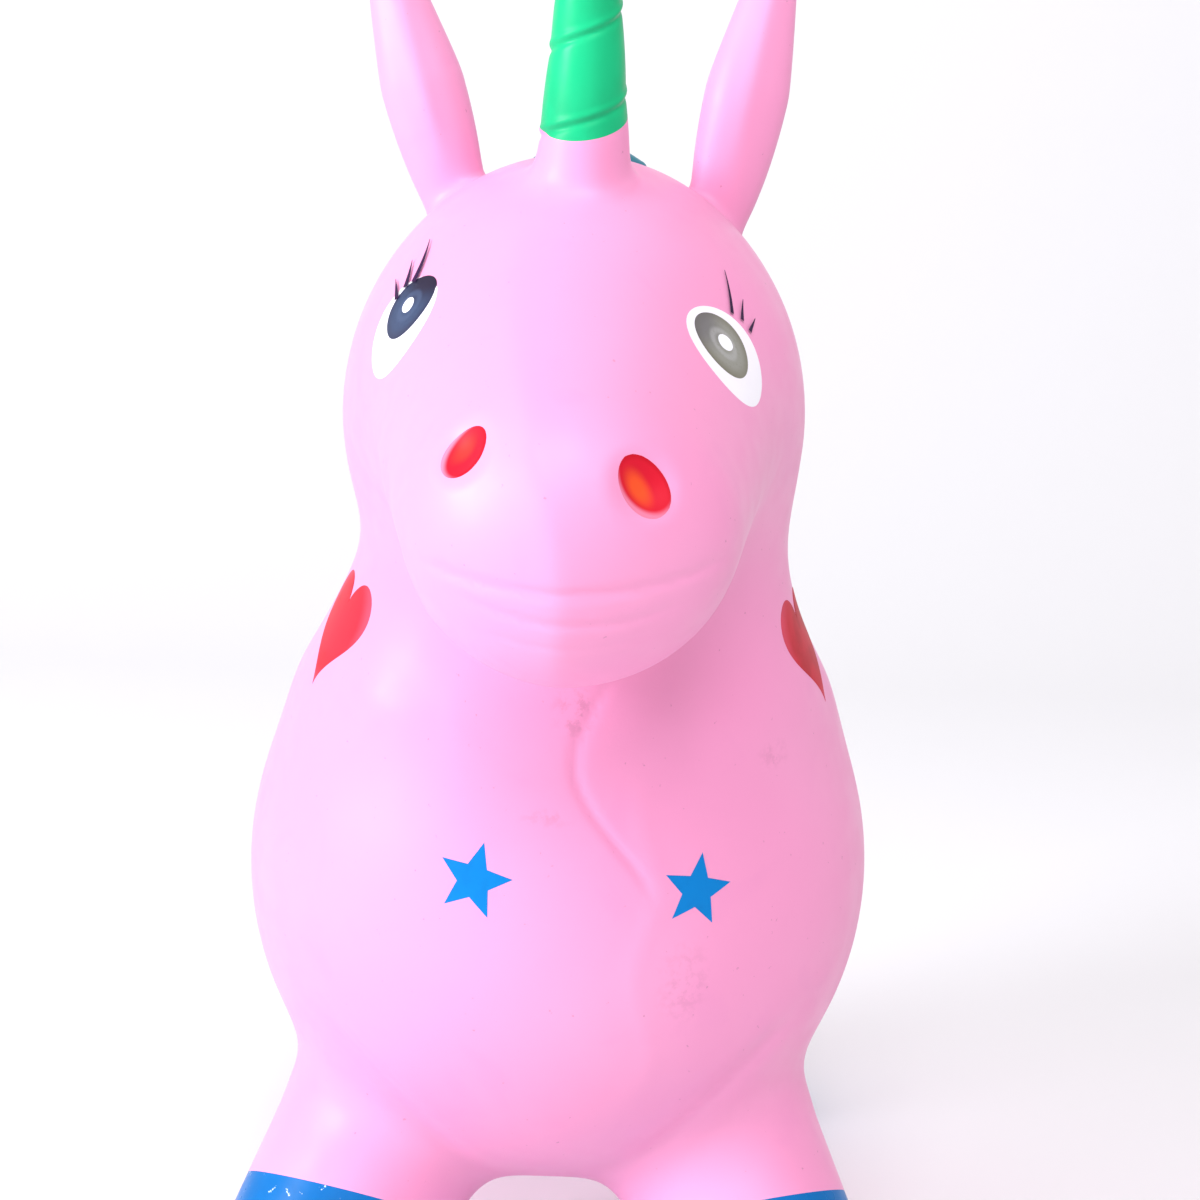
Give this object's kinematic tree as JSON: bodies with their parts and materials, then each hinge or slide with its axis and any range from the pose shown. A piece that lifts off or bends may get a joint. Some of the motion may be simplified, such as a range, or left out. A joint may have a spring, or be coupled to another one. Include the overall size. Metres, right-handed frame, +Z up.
{
  "type": "inflatable ride-on unicorn",
  "caption": "Air-filled soft vinyl ride-on unicorn hopper that stands on splayed legs, with bending ears and horn, a nodding neck and a valve with a pull-out plug.",
  "frame": {"origin": "on the floor, under the middle of the toy's bounding box", "axes": "+Z up along the height, nose towards -Y, the animal's own left side towards +X"},
  "size_m": [0.2802, 0.524, 0.61],
  "materials": {
    "pink_vinyl": "soft satin vinyl, slightly translucent",
    "horn_green": "gloss paint on vinyl",
    "hoof_blue": "gloss paint on vinyl",
    "mane_teal": "satin paint on vinyl",
    "saddle_blue": "satin paint on vinyl",
    "eye_white": "gloss paint on vinyl",
    "eye_glint": "gloss paint on vinyl",
    "iris_slate": "gloss paint on vinyl",
    "iris_grey": "gloss paint on vinyl",
    "lash_black": "gloss paint on vinyl",
    "nostril_red": "gloss paint on vinyl",
    "star_blue": "gloss paint on vinyl",
    "heart_red": "soft airbrushed paint on vinyl",
    "valve_vinyl": "translucent soft vinyl",
    "plug_white": "semi-rigid white plastic"
  },
  "bodies": {
    "torso": {"torso_skin": "pink_vinyl", "saddle": "saddle_blue", "star_left": "star_blue", "star_right": "star_blue", "heart_left": "heart_red", "heart_right": "heart_red", "valve_seat": "valve_vinyl"},
    "head": {"head_skin": "pink_vinyl", "mane": "mane_teal", "eye_glint_left": "eye_glint", "eye_glint_right": "eye_glint", "eye_white_left": "eye_white", "eye_white_right": "eye_white", "eyelashes_left": "lash_black", "eyelashes_right": "lash_black", "iris_left": "iris_grey", "iris_right": "iris_slate", "nostril_left": "nostril_red", "nostril_right": "nostril_red"},
    "horn": {"horn_base": "pink_vinyl", "horn_tip": "horn_green"},
    "left_ear": {"ear_left": "pink_vinyl"},
    "right_ear": {"ear_right": "pink_vinyl"},
    "tail_stub": {"tail": "mane_teal"},
    "plug": {"valve_plug": "plug_white"},
    "front_left_leg": {"leg_front_left": "pink_vinyl", "hoof_front_left": "hoof_blue"},
    "front_right_leg": {"leg_front_right": "pink_vinyl", "hoof_front_right": "hoof_blue"},
    "rear_left_leg": {"leg_rear_left": "pink_vinyl", "hoof_rear_left": "hoof_blue"},
    "rear_right_leg": {"leg_rear_right": "pink_vinyl", "hoof_rear_right": "hoof_blue"}
  },
  "joints": [
    {"name": "neck_nod", "type": "hinge", "parent": "torso", "child": "head", "pos_m": [0, -0.078, 0.285], "axis": [1, 0, 0], "range_deg": [-8, 8], "stiffness_Nm_per_rad": 25},
    {"name": "horn_bend", "type": "hinge", "parent": "head", "child": "horn", "pos_m": [0, -0.128, 0.478], "axis": [1, 0, 0], "range_deg": [-14, 10], "stiffness_Nm_per_rad": 1.2},
    {"name": "tail_bend", "type": "hinge", "parent": "torso", "child": "tail_stub", "pos_m": [0, 0.219, 0.243], "axis": [1, 0, 0], "range_deg": [-10, 12], "stiffness_Nm_per_rad": 0.4},
    {"name": "left_ear_bend", "type": "hinge", "parent": "head", "child": "left_ear", "pos_m": [0.0505, -0.07, 0.4618], "axis": [1, 0, 0], "range_deg": [-28, 14], "stiffness_Nm_per_rad": 0.6},
    {"name": "right_ear_bend", "type": "hinge", "parent": "head", "child": "right_ear", "pos_m": [-0.05347, -0.07, 0.46104], "axis": [1, 0, 0], "range_deg": [-28, 14], "stiffness_Nm_per_rad": 0.6},
    {"name": "front_left_splay", "type": "hinge", "parent": "torso", "child": "front_left_leg", "pos_m": [0.066, -0.085, 0.084], "axis": [0, -1, 0], "range_deg": [-3, 8], "stiffness_Nm_per_rad": 35},
    {"name": "front_right_splay", "type": "hinge", "parent": "torso", "child": "front_right_leg", "pos_m": [-0.066, -0.085, 0.084], "axis": [0, 1, 0], "range_deg": [-3, 8], "stiffness_Nm_per_rad": 35},
    {"name": "rear_left_splay", "type": "hinge", "parent": "torso", "child": "rear_left_leg", "pos_m": [0.054, 0.117, 0.084], "axis": [0, -1, 0], "range_deg": [-3, 8], "stiffness_Nm_per_rad": 35},
    {"name": "rear_right_splay", "type": "hinge", "parent": "torso", "child": "rear_right_leg", "pos_m": [-0.054, 0.117, 0.084], "axis": [0, 1, 0], "range_deg": [-3, 8], "stiffness_Nm_per_rad": 35},
    {"name": "plug_pull", "type": "slide", "parent": "torso", "child": "plug", "axis": [0, 0.8211, -0.5708], "range_m": [0, 0.03]}
  ]
}
